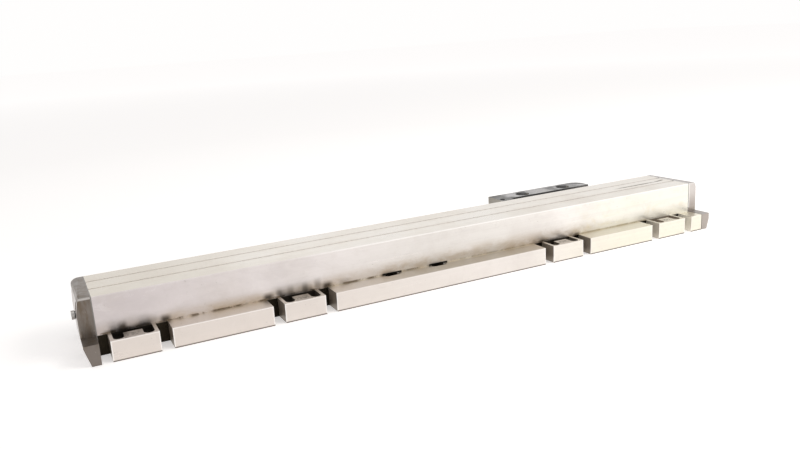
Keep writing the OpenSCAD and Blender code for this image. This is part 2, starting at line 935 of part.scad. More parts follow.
module carriage_frame() {
  color([0.55, 0.56, 0.58])
    scan_frame()
      difference() {
        union() {
          bridge();
          back_leg();
          lamp_house();
        }
        for (x = [-roller_x, roller_x]) {
          rod_y(x, bridge_y - cut, top_roll_z, pin_top_y0 + pin_top_len - bridge_y + cut, pin_r + pin_gap);
          translate([x, face_roll_y, face_roll_z - half_stack - lug_t - cut])
            cylinder(h = pin_face_len + cut, r = pin_r + pin_gap);
        }
        translate([0, face_roll_y, leg_z - cut])
          cylinder(h = pin_low_len + 2 * cut, r = pin_r + pin_gap);
        box(-reticle_w / 2 + rim, reticle_w / 2 - rim, reticle_y + reticle_t - cut, leg_y1 + cut,
          optic_z - reticle_h / 2 + rim, optic_z + reticle_h / 2 - rim);
        rod_y(0, lamp_y - cut, optic_z, lens_y1 - lamp_y + cut, lens_r + lens_gap);
        rod_y(0, lamp_y, optic_z, lamp_y1 - lamp_y + cut, shoulder_r);
        for (s = [-1, 1]) {
          rod_y(s * board_screw_x, leg_y - cut, optic_z, leg_t + 2 * cut, small_r + small_gap);
          rod_y(spring_screw_x, lamp_y - cut, pre_roll_z + s * spring_screw_dz,
            3 + cut, small_r + small_gap);
        }
        rod_x(-post_x - post_len - cut, rod_y0, rod_z, post_len + 2 * cut, rod_r + small_gap);
        translate([-post_x - post_len / 2, rod_y0, rod_z])
          cylinder(h = post_h, r = small_r + small_gap);
      }
}

module lamp_board() {
  color([0.10, 0.35, 0.20])
    scan_frame()
      box(-lamp_board_half, lamp_board_half, lamp_y - board_t, lamp_y,
        optic_z - lamp_board_half, optic_z + lamp_board_half);
}

module led_emitter() {
  color([0.95, 0.85, 0.45])
    scan_frame() {
      rod_y(0, lamp_y, optic_z, led_len, led_r);
      translate([0, lamp_y + led_len, optic_z])
        intersection() {
          sphere(r = led_r);
          rod_y(0, -led_len / 2, 0, 2 * led_r, 2 * led_r);
        }
    }
}

// plano-convex lens, flat side on its shoulder
module condenser_lens() {
  color([0.80, 0.88, 0.95, 0.5])
    scan_frame()
      intersection() {
        translate([0, lens_y1 - lens_t - lens_rise + lens_ball, optic_z])
          sphere(r = lens_ball);
        rod_y(0, lens_y1 - lens_t - lens_rise - cut, optic_z, lens_t + lens_rise + cut, lens_r);
      }
}

module scanning_reticle() {
  color([0.70, 0.82, 0.84, 0.6])
    scan_frame()
      box(-reticle_w / 2, reticle_w / 2, reticle_y, reticle_y + reticle_t,
        optic_z - reticle_h / 2, optic_z + reticle_h / 2);
}

module detector_board() {
  color([0.10, 0.35, 0.20])
    scan_frame()
      difference() {
        box(-board_half, board_half, leg_y1, leg_y1 + board_t, board_z0, board_z1);
        for (s = [-1, 1])
          rod_y(s * board_screw_x, leg_y1 - cut, optic_z, board_t + 2 * cut, small_r + small_gap);
      }
}

module detector_chip() {
  color([0.12, 0.12, 0.16])
    scan_frame()
      box(-chip_half, chip_half, leg_y1 - chip_t, leg_y1, optic_z - chip_h / 2, optic_z + chip_h / 2);
}

// quarter of a bent strip; q gives the quadrant as [sign y, sign z]
module bend(y, z, q) {
  translate([y, z])
    intersection() {
      difference() {
        circle(r = flex_bend + flex_t);
        circle(r = flex_bend);
      }
      translate([min(0, q[0] * 3 * flex_bend), min(0, q[1] * 3 * flex_bend)])
        square(3 * flex_bend);
    }
}

// flexible print: down from the board, round a loop and along the blade's channel
module flex_print() {
  y0 = leg_y1 + board_t;
  y1 = flex_rise_y;
  z1 = flex_z1 - flex_bend;
  color([0.72, 0.42, 0.12])
    scan_frame()
      along_x(-flex_w / 2, flex_w) {
        span(y0, y0 + flex_t, flex_z0, flex_z0 + flex_up);
        bend(y0 + flex_t + flex_bend, flex_z0, [-1, -1]);
        bend(y0 + flex_t + flex_bend, flex_z0, [1, -1]);
        span(y1, y1 + flex_t, flex_z0, z1);
        bend(y1 + flex_t + flex_bend, z1, [-1, 1]);
        span(y1 + flex_t + flex_bend, board_seat_y, flex_z1, flex_z1 + flex_t);
      }
}

module preload_spring() {
  color([0.70, 0.71, 0.73])
    scan_frame()
      difference() {
        box(spring_x0, spring_x1, lamp_y - spring_t, lamp_y,
          pre_roll_z - spring_h / 2, pre_roll_z + spring_h / 2);
        for (s = [-1, 1])
          rod_y(spring_screw_x, lamp_y - spring_t - cut, pre_roll_z + s * spring_screw_dz,
            spring_t + 2 * cut, small_r + small_gap);
      }
}

// fork that carries the preload roller at the free end of the spring
module preload_fork() {
  color([0.60, 0.60, 0.62])
    scan_frame()
      difference() {
        union() {
          pin_lug(pre_roll_x, lamp_y, lamp_y1, pre_roll_z - half_stack - lug_t, pre_roll_z - half_stack);
          pin_lug(pre_roll_x, lamp_y, lamp_y1, pre_roll_z + half_stack, pre_roll_z + half_stack + lug_t);
          pin_lug(pre_roll_x, lamp_y, lamp_y + fork_web,
            pre_roll_z - half_stack - lug_t, pre_roll_z + half_stack + lug_t);
        }
        translate([pre_roll_x, pre_roll_y, pre_roll_z - half_stack - lug_t - cut])
          cylinder(h = pin_low_len + 2 * cut, r = pin_r + pin_gap);
      }
}

module carriage_screws() {
  color([0.35, 0.35, 0.36])
    scan_frame()
      for (s = [-1, 1]) {
        translate([spring_screw_x, lamp_y - spring_t, pre_roll_z + s * spring_screw_dz])
          rotate([90, 0, 0])
            slot_screw(small_r, 3, small_head_r, small_head_h);
        translate([s * board_screw_x, leg_y1 + board_t, optic_z])
          rotate([-90, 0, 0])
            slot_screw(small_r, leg_t, small_head_r, small_head_h);
      }
}

module roller_pins() {
  color([0.75, 0.75, 0.77])
    scan_frame() {
      for (x = [-roller_x, roller_x]) {
        rod_y(x, pin_top_y0, top_roll_z, pin_top_len, pin_r);
        translate([x, face_roll_y, face_roll_z - half_stack - lug_t])
          cylinder(h = pin_face_len, r = pin_r);
      }
      translate([0, face_roll_y, leg_z])
        cylinder(h = pin_low_len, r = pin_r);
      translate([pre_roll_x, pre_roll_y, pre_roll_z - pin_low_len / 2])
        cylinder(h = pin_low_len, r = pin_r);
    }
}

// roller: a small ball bearing with its race line cut in both faces, axis along local Z
module roller() {
  difference() {
    cylinder(h = roller_w, r = roller_r, center = true);
    cylinder(h = roller_w + 2 * cut, r = pin_r + pin_gap, center = true);
    for (s = [-1, 1])
      translate([0, 0, s * (roller_w / 2 + race_d)])
        difference() {
          cylinder(h = 4 * race_d, r = race_r + race_w, center = true);
          cylinder(h = 8 * race_d, r = race_r, center = true);
        }
  }
}

module roller_at(x, y, z, along_y) {
  color([0.78, 0.79, 0.81])
    scan_frame()
      translate([x, y, z])
        rotate([along_y ? 90 : 0, 0, 0])
          roller();
}

module roller_top_left() {
  roller_at(-roller_x, top_roll_y, top_roll_z, true);
}

module roller_top_right() {
  roller_at(roller_x, top_roll_y, top_roll_z, true);
}

module roller_face_left() {
  roller_at(-roller_x, face_roll_y, face_roll_z, false);
}

module roller_face_right() {
  roller_at(roller_x, face_roll_y, face_roll_z, false);
}

module roller_low() {
  roller_at(0, face_roll_y, low_roll_z, false);
}

module roller_preload() {
  roller_at(pre_roll_x, pre_roll_y, pre_roll_z, false);
}

// ---------- coupling and blade ----------

module coupling_rod() {
  len = 2 * (post_x + post_len - rod_end);
  color([0.80, 0.80, 0.82])
    scan_frame()
      rod_x(-len / 2, rod_y0, rod_z, len, rod_r);
}

module coupling_screws() {
  color([0.35, 0.35, 0.36])
    scan_frame() {
      translate([-post_x - post_len / 2, rod_y0, lug_z1])
        slot_screw(small_r, lug_z1 - rod_z - rod_r - small_gap, small_head_r, small_head_h);
      translate([post_x + post_len / 2, rod_y0, post_top])
        slot_screw(small_r, post_top - rod_z - rod_r - small_gap, small_head_r, small_head_h);
    }
}

// plan of the blade, pointed at both ends where it parts the lips
module blade_plan() {
  polygon([
    [-blade_half_in, blade_y0],
    [blade_half_in, blade_y0],
    [blade_half_in, cav_y1 - blade_neck],
    [blade_shoulder, cav_y1],
    [blade_half, blade_tip_y],
    [blade_shoulder, mb_y0 - blade_neck],
    [blade_half_out, mb_y0],
    [blade_half_out, hold_y1],
    [-blade_half_out, hold_y1],
    [-blade_half_out, mb_y0],
    [-blade_shoulder, mb_y0 - blade_neck],
    [-blade_half, blade_tip_y],
    [-blade_shoulder, cav_y1],
    [-blade_half_in, cav_y1 - blade_neck]]);
}

module blade() {
  color([0.66, 0.67, 0.69])
    scan_frame()
      difference() {
        union() {
          translate([0, 0, blade_z0])
            linear_extrude(blade_t)
              blade_plan();
          box(post_x, post_x + post_len, blade_y0, blade_y0 + post_w, blade_z1 - cut, post_top);
        }
        box(-wire_half, wire_half, flex_rise_y, hold_y1 + cut, blade_z0 - cut, blade_z0 + channel_depth);
        for (x = blade_screw_xs)
          translate([x, blade_screw_y, blade_z0 - cut])
            cylinder(h = blade_t + 2 * cut, r = small_r + small_gap);
        rod_x(post_x - cut, rod_y0, rod_z, post_len + 2 * cut, rod_r + small_gap);
        translate([post_x + post_len / 2, rod_y0, rod_z])
          cylinder(h = post_h, r = small_r + small_gap);
      }
}

module blade_screws() {
  color([0.35, 0.35, 0.36])
    scan_frame()
      for (x = blade_screw_xs)
        translate([x, blade_screw_y, mblock_z + blade_screw_sink])
          rotate([180, 0, 0])
            slot_screw(small_r, blade_screw_len, small_head_r, small_head_h);
}

// ---------- mounting block ----------

// plan of the block, round at one back corner
module mblock_plan() {
  span(mb_x0, mb_x1 - mblock_round, mb_y0, mblock_back);
  span(mb_x1 - mblock_round - cut, mb_x1, mb_y0, mblock_back - mblock_round);
  translate([mb_x1 - mblock_round, mblock_back - mblock_round])
    circle(r = mblock_round);
}

module mounting_block() {
  color([0.33, 0.33, 0.34])
    scan_frame()
      difference() {
        translate([0, 0, mblock_z])
          linear_extrude(mblock_h)
            mblock_plan();
        box(-blade_half_out, blade_half_out, mb_y0 - cut, hold_y1, blade_z0, blade_z1);
        for (x = mb_holes) {
          translate([x, mblock_hole_y, mblock_z - cut])
            cylinder(h = mblock_h + 2 * cut, r = mblock_hole_r);
          translate([x, mblock_hole_y, mb_top - mblock_cbore_d])
            cylinder(h = mblock_cbore_d + cut, r = mblock_cbore_r);
        }
        for (x = blade_screw_xs)
          translate([x, blade_screw_y, mblock_z - cut]) {
            cylinder(h = blade_z0 - mblock_z + 2 * cut, r = small_r + hole_gap);
            cylinder(h = blade_screw_sink + cut, r = small_head_r + hole_gap);
          }
        box(pocket_x0, pocket_x1, board_seat_y, mblock_back + cut, pocket_z0, pocket_z1);
        box(pocket_x0 + pocket_step, pocket_x1 - pocket_step, pocket_y0, mblock_back, pocket_z0, pocket_z1);
        box(cover_x0, cover_x1, cover_gasket_y, mblock_back + cut, cover_z0, cover_z1);
        for (p = cover_screws_xz)
          rod_y(p[0], cover_gasket_y - cover_screw_len, p[1], cover_screw_len + cut, small_r + small_gap);
        box(-wire_half, wire_half, hold_y1 - cut, pocket_y0 + cut, wire_z0, wire_z1);
        rod_x(mb_x0 - cut, socket_y, socket_zc, socket_depth + cut, socket_r);
        rod_x(duct_x0, duct_y, duct_z, pocket_x0 + pocket_step + cut - duct_x0, duct_r);
        box(mb_x0 + mblock_corner, mb_x1 + cut, mb_y0 - cut, mb_y0 + mblock_step,
          mblock_z + mblock_shelf, mb_top + cut);
        translate([earth_x, earth_y, mb_top - earth_depth])
          cylinder(h = earth_depth + cut, r = earth_r);
        rod_x(mb_x1 - mb_port_depth, mb_port_y, mb_port_z, mb_port_depth + cut, plug_r + thread_gap);
      }
}

module cover_holes(y, r) {
  for (p = cover_screws_xz)
    rod_y(p[0], y - cut, p[1], cover_t + 2 * cut, r);
}

module block_cover() {
  color([0.28, 0.28, 0.29])
    scan_frame()
      difference() {
        box(cover_x0, cover_x1, cover_y0, mblock_back, cover_z0, cover_z1);
        cover_holes(cover_y0, small_r + hole_gap);
      }
}

module cover_gasket() {
  color([0.07, 0.07, 0.07])
    scan_frame()
      difference() {
        box(cover_x0, cover_x1, cover_gasket_y, cover_y0, cover_z0, cover_z1);
        box(pocket_x0, pocket_x1, cover_gasket_y - cut, cover_y0 + cut, pocket_z0, pocket_z1);
        cover_holes(cover_gasket_y, small_r + hole_gap);
      }
}

module cover_screws() {
  color([0.35, 0.35, 0.36])
    scan_frame()
      for (p = cover_screws_xz)
        translate([p[0], mblock_back, p[1]])
          rotate([-90, 0, 0])
            slot_screw(small_r, cover_screw_len, small_head_r, small_head_h);
}

module electronics_board() {
  color([0.10, 0.35, 0.20])
    scan_frame()
      box(pocket_x0 + pcb_gap, pocket_x1 - pcb_gap, board_seat_y, board_seat_y + pcb_t,
        pocket_z0 + pcb_gap, pocket_z1 - pcb_gap);
}

module board_parts() {
  y = board_seat_y + pcb_t;
  xm = (pocket_x0 + pocket_x1) / 2;
  zm = (pocket_z0 + pocket_z1) / 2;
  color([0.11, 0.11, 0.12])
    scan_frame() {
      box(xm - 3, xm + 3, y, y + 1.2, zm - 3, zm + 3);
      box(xm - 8, xm - 4.5, y, y + 0.9, zm - 5, zm + 1);
      box(xm + 4.5, xm + 8, y, y + 0.9, zm - 1, zm + 5);
      rod_y(xm + 6, y, zm - 5, 3.2, 1.8);
    }
}

// ---------- connector ----------

module connector_shell() {
  color([0.72, 0.72, 0.70])
    scan_frame()
      difference() {
        union() {
          rod_x(mb_x0 - shell_out, socket_y, socket_zc, shell_out + shell_len, socket_r);
          rod_x(mb_x0 - collar_t, socket_y, socket_zc, collar_t, collar_r);
        }
        rod_x(mb_x0 - shell_out - cut, socket_y, socket_zc, mouth_len + cut, mouth_r);
        rod_x(mb_x0 - shell_out - cut, socket_y, socket_zc, shell_out + shell_len + 2 * cut, insert_r);
      }
}

// positions of the contacts on the connector face as [y, z]
contacts = concat([[0, 0]],
  [for (i = [0:pin_count - 1]) [
    contact_ring * cos(360 * i / pin_count),
    contact_ring * sin(360 * i / pin_count)]]);

module connector_insert() {
  color([0.09, 0.09, 0.10])
    scan_frame()
      difference() {
        rod_x(insert_x, socket_y, socket_zc, insert_t, insert_r);
        for (c = contacts)
          rod_x(insert_x - cut, socket_y + c[0], socket_zc + c[1], contact_len + cut, contact_r);
      }
}

// spring contacts, seated in the insert just below its face
module connector_contacts() {
  color([0.85, 0.68, 0.25])
    scan_frame()
      for (c = contacts)
        difference() {
          rod_x(insert_x + contact_r, socket_y + c[0], socket_zc + c[1],
            contact_len - contact_r, contact_r);
          rod_x(insert_x - cut, socket_y + c[0], socket_zc + c[1], contact_len / 2 + cut, contact_r / 2);
        }
}

module block_plug() {
  color([0.25, 0.25, 0.26])
    scan_frame()
      translate([mb_x1 + plug_seal_t, mb_port_y, mb_port_z])
        rotate([0, 90, 0])
          air_plug();
}

module block_plug_seal() {
  color([0.06, 0.06, 0.06])
    scan_frame()
      translate([mb_x1, mb_port_y, mb_port_z])
        rotate([0, 90, 0])
          port_seal();
}

// ---------- what is drawn ----------

scale_housing();
end_cap_left();
end_cap_right();
gasket_left();
gasket_right();
cap_screws();
air_plug_left();
air_plug_right();
plug_seals();
glass_scale();
scale_bond();
graduation();
lip_upper();
lip_lower();
carriage_frame();
lamp_board();
led_emitter();
condenser_lens();
scanning_reticle();
detector_board();
detector_chip();
flex_print();
preload_spring();
preload_fork();
carriage_screws();
roller_pins();
coupling_rod();
coupling_screws();
blade();
blade_screws();
mounting_block();
block_cover();
cover_gasket();
cover_screws();
electronics_board();
board_parts();
connector_shell();
connector_insert();
connector_contacts();
block_plug();
block_plug_seal();
roller_top_left();
roller_top_right();
roller_face_left();
roller_face_right();
roller_low();
roller_preload();
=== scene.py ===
"""Dresses the sealed linear encoder: finishes for every solid, studio light, floor and camera."""
import functools
import json
import math

import bmesh
import bpy
from mathutils import Matrix, Vector


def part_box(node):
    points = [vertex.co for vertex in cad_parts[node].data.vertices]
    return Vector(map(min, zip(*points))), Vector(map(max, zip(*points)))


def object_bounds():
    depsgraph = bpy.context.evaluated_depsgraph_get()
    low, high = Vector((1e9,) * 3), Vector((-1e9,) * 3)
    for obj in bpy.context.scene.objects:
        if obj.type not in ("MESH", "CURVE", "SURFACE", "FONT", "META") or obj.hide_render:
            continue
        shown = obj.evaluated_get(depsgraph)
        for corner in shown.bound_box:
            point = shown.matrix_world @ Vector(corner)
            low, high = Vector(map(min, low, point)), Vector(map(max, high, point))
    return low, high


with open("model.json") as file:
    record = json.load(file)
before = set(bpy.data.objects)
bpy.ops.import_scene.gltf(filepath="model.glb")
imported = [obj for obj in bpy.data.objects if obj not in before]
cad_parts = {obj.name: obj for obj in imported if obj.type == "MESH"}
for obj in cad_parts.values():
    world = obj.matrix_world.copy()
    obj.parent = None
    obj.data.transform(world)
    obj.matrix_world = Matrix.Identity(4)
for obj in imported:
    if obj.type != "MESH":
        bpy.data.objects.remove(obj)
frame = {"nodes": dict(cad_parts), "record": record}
cad_low, cad_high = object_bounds()
nodes = frame["nodes"]

MM = 0.001

# faces of the housing section, in millimetres: the flange's front and top, the wall behind it and the roof
housing_low, housing_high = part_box("scale_housing")
flange_front = housing_low[1] / MM
flange_top = 12.2
wall_face = flange_front + 14.2
roof_top = housing_high[2] / MM


# ---------- material workshop ----------

def math_step(tree, how, a, b, clamp=False):
    """one sum of a node tree; a and b are sockets or numbers"""
    node = tree.nodes.new("ShaderNodeMath")
    node.operation = how
    node.use_clamp = clamp
    for socket, value in zip(node.inputs, (a, b)):
        if isinstance(value, float):
            socket.default_value = value
        else:
            tree.links.new(value, socket)
    return node.outputs[0]


class Finish:
    """One procedural finish: a shader, the small patterns that feed it, and masks that place them."""

    def __init__(self, name, colour, rough, metal=0.0, **fixed):
        self.mat = bpy.data.materials.new(name)
        self.mat.use_nodes = True
        self.mat.diffuse_color = (*colour, 1.0)
        self.tree = self.mat.node_tree
        self.tree.nodes.clear()
        out = self.tree.nodes.new("ShaderNodeOutputMaterial")
        self.shader = self.tree.nodes.new("ShaderNodeBsdfPrincipled")
        self.join(self.shader.outputs[0], out.inputs[0])
        self.shader.inputs["Base Color"].default_value = (*colour, 1.0)
        self.shader.inputs["Roughness"].default_value = rough
        self.shader.inputs["Metallic"].default_value = metal
        for key, value in fixed.items():
            self.shader.inputs[key.replace("_", " ")].default_value = value
        self.place = self.tree.nodes.new("ShaderNodeTexCoord").outputs["Object"]

    def join(self, a, b):
        self.tree.links.new(a, b)

    # patterns, with values from 0 to 1

    def stretched(self, scale):
        """the place, scaled differently along each axis"""
        node = self.tree.nodes.new("ShaderNodeMapping")
        node.inputs["Scale"].default_value = scale
        self.join(self.place, node.inputs["Vector"])
        return node.outputs["Vector"]

    def noise(self, scale, detail=3.0, rough=0.55, stretch=None, twist=0.0):
        node = self.tree.nodes.new("ShaderNodeTexNoise")
        node.inputs["Scale"].default_value = scale
        node.inputs["Detail"].default_value = detail
        node.inputs["Roughness"].default_value = rough
        node.inputs["Distortion"].default_value = twist
        self.join(self.stretched(stretch) if stretch else self.place, node.inputs["Vector"])
        return node.outputs["Fac"]

    def stones(self, scale, stretch):
        """distance to the nearest of many scattered cell middles"""
        node = self.tree.nodes.new("ShaderNodeTexVoronoi")
        node.inputs["Scale"].default_value = scale
        self.join(self.stretched(stretch), node.inputs["Vector"])
        return node.outputs["Distance"]

    def waves(self, scale, profile="SIN"):
        """bands across the length"""
        node = self.tree.nodes.new("ShaderNodeTexWave")
        node.wave_type = "BANDS"
        node.bands_direction = "X"
        node.wave_profile = profile
        node.inputs["Scale"].default_value = scale
        self.join(self.place, node.inputs["Vector"])
        return node.outputs["Fac"]

    # where on the piece, and which way its surface faces

    def axis(self, letter):
        """place along an axis, in metres"""
        node = self.tree.nodes.new("ShaderNodeSeparateXYZ")
        self.join(self.place, node.inputs[0])
        return node.outputs["XYZ".index(letter)]

    def facing(self, letter):
        """how far the surface faces along an axis, from -1 to 1"""
        geometry = self.tree.nodes.new("ShaderNodeNewGeometry")
        node = self.tree.nodes.new("ShaderNodeSeparateXYZ")
        self.join(geometry.outputs["True Normal"], node.inputs[0])
        return node.outputs["XYZ".index(letter)]

    # sums and masks

    def product(self, *factors):
        """masks and strengths multiplied together"""
        step = functools.partial(math_step, self.tree, "MULTIPLY", clamp=True)
        return functools.reduce(step, factors)

    def minus(self, a, b):
        return math_step(self.tree, "SUBTRACT", a, b)

    def plain_size(self, value):
        """the value without its sign"""
        node = self.tree.nodes.new("ShaderNodeMath")
        node.operation = "ABSOLUTE"
        self.join(value, node.inputs[0])
        return node.outputs[0]

    def band(self, value, start, end, at_start=0.0, at_end=1.0):
        """soft step of a value: at_start up to start, at_end from end on"""
        node = self.tree.nodes.new("ShaderNodeMapRange")
        node.interpolation_type = "SMOOTHSTEP"
        node.clamp = False
        node.inputs["From Min"].default_value = start
        node.inputs["From Max"].default_value = end
        node.inputs["To Min"].default_value = at_start
        node.inputs["To Max"].default_value = at_end
        self.join(value, node.inputs["Value"])
        return node.outputs["Result"]

    def span(self, value, start, end, at_start=0.0, at_end=1.0):
        """band of a place or a distance, with start and end in millimetres"""
        return self.band(value, start * MM, end * MM, at_start, at_end)

    def near(self, value, middle, outer, inner, at_outer=0.0, at_inner=1.0):
        """band of the distance from a middle; all three in millimetres"""
        off = self.plain_size(self.minus(value, middle * MM))
        return self.span(off, outer, inner, at_outer, at_inner)

    # what feeds the shader

    def paint(self, mask, colour):
        """lays colour over what is there, where mask is 1"""
        node = self.tree.nodes.new("ShaderNodeMix")
        node.data_type = "RGBA"
        base = self.shader.inputs["Base Color"]
        if base.is_linked:
            self.join(base.links[0].from_socket, node.inputs["A"])
        else:
            node.inputs["A"].default_value = base.default_value
        node.inputs["B"].default_value = (*colour, 1.0)
        self.join(mask, node.inputs["Factor"])
        self.join(node.outputs["Result"], base)

    def vary_rough(self, value, low, high):
        """roughness from low to high with a pattern"""
        self.join(self.band(value, 0.3, 0.7, low, high), self.shader.inputs["Roughness"])

    def emboss(self, value, depth, strength=0.4):
        """adds relief from a pattern; depth in metres"""
        node = self.tree.nodes.new("ShaderNodeBump")
        node.inputs["Strength"].default_value = strength
        node.inputs["Distance"].default_value = depth
        self.join(value, node.inputs["Height"])
        normal = self.shader.inputs["Normal"]
        if normal.is_linked:
            self.join(normal.links[0].from_socket, node.inputs["Normal"])
        self.join(node.outputs["Normal"], normal)


# ---------- finish of the housing section ----------

# fixing blocks: place along the scale (mm), strength of the tongue's film, grey of the painted shade inside
# the pockets
BLOCKS = (
    (-200.0, 0.55, 0.08),
    (-100.0, 0.55, 0.13),
    (100.0, 0.20, 0.22),
    (200.0, 0.20, 0.48),
)

# places of the two rigid fixings' slots along the scale (mm)
SLOTS = (-34.4, 0.6)

# sawn ends of the flange pieces: two on each side of a fixing block (mm)
SAWN_SIDES = (-20.25, -13.25, 13.25, 20.25)
SAWN_ENDS = [place + side for place, _, _ in BLOCKS for side in SAWN_SIDES]

# painted shade and dark reflection of the cuts on the wall above the pockets and gaps: place
# along the scale, height above the flange and half width (mm), then strength
CUT_SHADE_SPOTS = (
    (-211.5, 1.6, 4.0, 0.80),
    (-204.6, 4.4, 3.2, 1.00),
    (-204.0, 1.8, 6.5, 0.90),
    (-194.0, 2.2, 6.0, 0.75),
    (-188.0, 4.6, 4.5, 0.45),
    (-180.8, 3.4, 4.2, 1.00),
    (-119.0, 3.4, 4.2, 1.00),
    (-112.0, 4.2, 2.6, 0.55),
    (-104.5, 5.0, 3.0, 0.50),
    (-95.0, 4.8, 2.6, 0.50),
    (-86.5, 5.8, 3.2, 0.55),
    (-80.0, 3.2, 4.2, 1.00),
    (-68.0, 3.0, 5.0, 0.35),
    (86.5, 1.6, 3.4, 1.00),
    (96.0, 1.3, 6.0, 0.20),
    (119.0, 1.6, 3.4, 0.90),
    (187.0, 1.1, 3.2, 0.70),
    (209.0, 0.7, 2.0, 0.35),
    (221.0, 0.8, 2.6, 0.45),
)

# colour of the painted highlights on edges
EDGE_HIGHLIGHT = (0.98, 0.965, 0.94)


class SectionFinish(Finish):
    """The aluminium section's finish, with the patterns and masks that several of its layers share."""

    def __init__(self):
        super().__init__("satin_aluminium_section", (0.86, 0.83, 0.80), 0.30, 1.0)
        self.cloud = self.noise(26.0, 4.0, 0.6)
        self.blot = self.noise(1.0, 6.0, 0.62, stretch=(60.0, 60.0, 120.0), twist=0.4)
        self.die = self.noise(1.0, 5.0, 0.6, stretch=(3.0, 900.0, 900.0))
        self.length = self.axis("X")
        self.depth = self.axis("Y")
        self.height = self.axis("Z")
        upward = self.band(self.facing("Z"), 0.7, 0.9)
        self.upright = self.band(self.plain_size(self.facing("Z")), 0.5, 0.7, 1.0, 0.0)
        self.wall = self.near(self.depth, wall_face, 0.6, 0.2)
        self.roof = self.product(upward, self.span(self.height, roof_top - 5.0, roof_top - 2.0))
        # the flange: its front, its top, the corner where the wall stands on it, and all below its top
        self.front = self.product(self.span(self.depth, flange_front + 0.4, flange_front + 0.2),
                                  self.span(self.height, flange_top + 0.6, flange_top))
        self.flange = self.product(upward, self.span(self.height, flange_top + 4.0, flange_top + 1.0))
        self.corner = self.product(self.wall, self.span(self.height, flange_top + 1.3, flange_top + 0.5))
        self.below = self.span(self.height, flange_top - 0.02, flange_top - 0.4)


def lay_films_and_painted_shade(f):
    """thin films and painted light: painted shade and reflection dulling the wall, roof and flange front
    towards the left end, a painted warm reflection on the roof, cream towards the right and warm in the
    middle
    """
    # painted shade and reflection: the wall is painted duller and lilac towards the left end
    f.paint(f.product(f.wall, f.span(f.length, 100.0, -240.0, 0.0, 0.85)), (0.58, 0.525, 0.53))
    f.paint(f.product(f.wall, f.near(f.length, 15.0, 115.0, 20.0, 0.0, 0.48)), (0.60, 0.575, 0.54))
    # painted shade: the upper wall at the left end is painted darker still
    upper_left = f.product(f.span(f.height, 18.0, 30.0), f.span(f.length, -150.0, -215.0, 0.0, 0.32))
    f.paint(f.product(f.wall, upper_left), (0.42, 0.375, 0.385))
    # painted reflection: the roof is painted cream, and painted shade darkens it towards the left end
    f.paint(f.product(f.roof, f.band(f.cloud, 0.3, 0.7, 0.5, 0.9)), (0.79, 0.74, 0.665))
    f.paint(f.product(f.roof, f.span(f.length, -100.0, -190.0, 0.0, 0.65)), (0.61, 0.56, 0.48))
    # painted shade: the flange front is painted darker towards the left end
    f.paint(f.product(f.front, f.span(f.length, 130.0, -200.0, 0.35, 0.95)), (0.68, 0.62, 0.575))
    f.paint(f.product(f.front, f.span(f.length, 50.0, 160.0, 0.0, 0.8)), (0.86, 0.82, 0.69))
    f.paint(f.product(f.wall, f.span(f.length, 100.0, 170.0, 0.0, 0.7)), (0.84, 0.825, 0.73))


def lay_mottle(f):
    """die lines, clouds and mottle over the whole section"""
    mottle = f.noise(150.0, 6.0, 0.65, twist=0.6)
    f.paint(f.band(f.die, 0.35, 0.75, 0.0, 0.13), (0.62, 0.59, 0.56))
    f.paint(f.band(f.cloud, 0.48, 0.72, 0.0, 0.25), (0.66, 0.61, 0.57))
    f.paint(f.band(mottle, 0.50, 0.68, 0.0, 0.13), (0.55, 0.50, 0.46))
    f.paint(f.band(mottle, 0.46, 0.30, 0.0, 0.06), (0.97, 0.95, 0.92))


def lay_handling_marks(f):
    """marks that drift over the wall, and a scuffed line on the roof near the right end"""
    drift = f.noise(1.0, 6.0, 0.68, stretch=(36.0, 36.0, 95.0), twist=0.9)
    fades = f.product(f.wall, f.span(f.length, 120.0, -60.0, 0.15, 1.0))
    f.paint(f.product(fades, f.band(drift, 0.50, 0.66, 0.0, 0.17)), (0.47, 0.43, 0.42))
    f.paint(f.product(fades, f.band(drift, 0.47, 0.33, 0.0, 0.28)), (0.80, 0.76, 0.75))
    bend = f.span(f.length, 215.0, 232.0, 30.9 * MM, 33.4 * MM)
    off_line = f.plain_size(f.minus(f.depth, bend))
    ends = f.product(f.span(f.length, 172.0, 186.0), f.span(f.length, 229.0, 225.5))
    broken = f.band(f.noise(210.0, 4.0, 0.7), 0.30, 0.50, 0.4, 1.0)
    f.paint(f.product(f.roof, f.span(off_line, 1.7, 0.7), ends, broken), (0.21, 0.17, 0.13))


